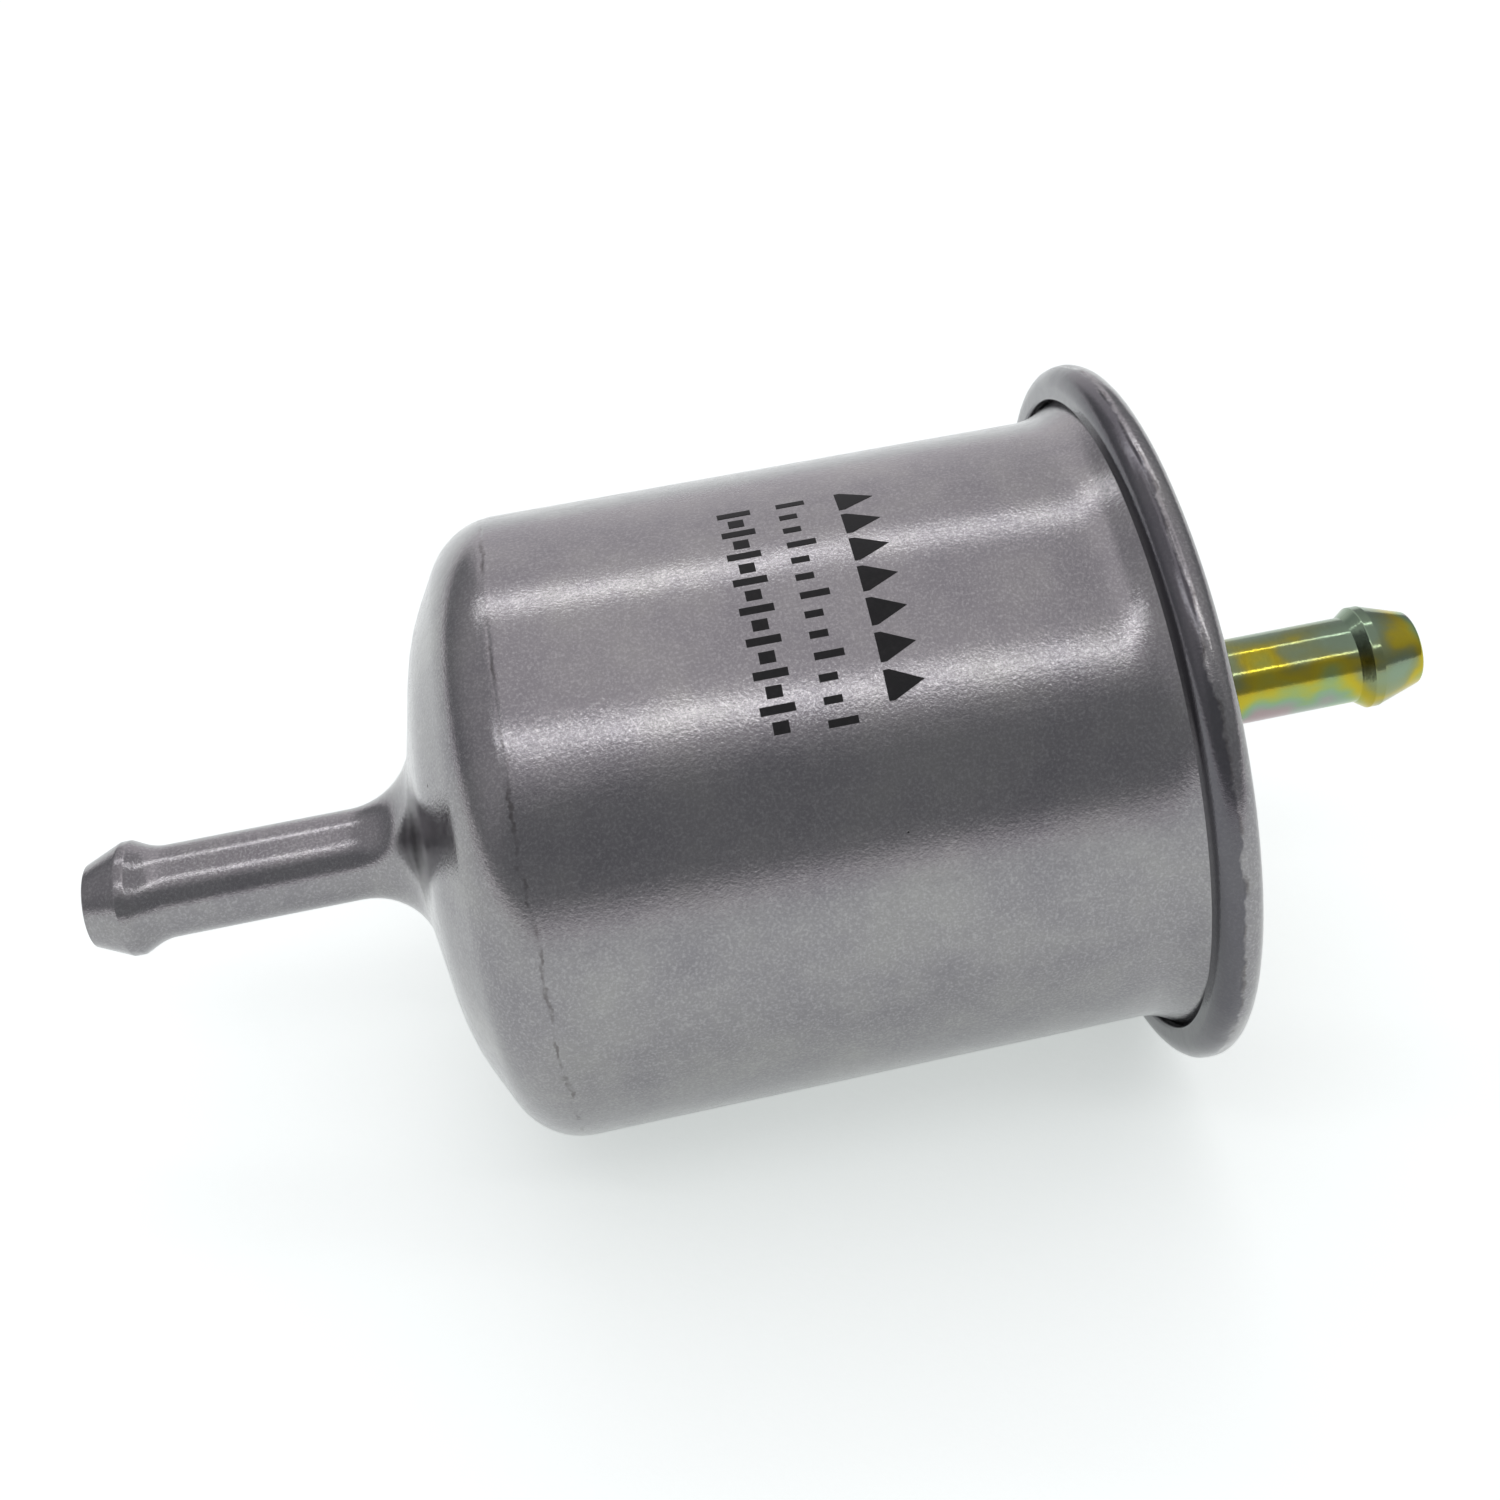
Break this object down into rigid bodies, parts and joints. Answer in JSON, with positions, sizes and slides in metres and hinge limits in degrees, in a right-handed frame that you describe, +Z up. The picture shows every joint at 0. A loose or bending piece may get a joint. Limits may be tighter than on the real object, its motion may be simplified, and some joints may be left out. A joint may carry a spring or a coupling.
{
  "type": "in-line fuel filter",
  "caption": "Sealed in-line fuel filter: a domed metal can with a hose barb at each end, a rolled seam at the rim, and a pleated paper element inside.",
  "frame": {"origin": "on the filter's axis, half way along the straight band of the can that a strap clamp holds", "axes": "+X along the axis, the way the fuel flows, from the can's own nipple to the plated one; +Z up"},
  "size_m": [0.1211, 0.0636, 0.0636],
  "materials": {
    "can_alloy": "satin, fine matt grain",
    "yellow_zinc": "bright zinc plate with an iridescent yellow passivate",
    "seal_rubber": "matt",
    "tinplate": "bright tinned",
    "spring_steel": "satin",
    "filter_paper": "resin-cured, matt",
    "potting": "semi-matt adhesive"
  },
  "bodies": {
    "root": {"housing_can": "can_alloy", "end_cover": "can_alloy", "seam_gasket": "seal_rubber", "outlet_nipple": "yellow_zinc", "nipple_seal_ring": "seal_rubber", "outlet_end_cap": "tinplate", "inlet_end_cap": "tinplate", "pleated_paper": "filter_paper", "outlet_potting": "potting", "inlet_potting": "potting", "core_tube": "tinplate", "pleat_seam_clip": "tinplate", "spigot_grommet": "seal_rubber", "hold_down_spring": "spring_steel"}
  },
  "joints": []
}
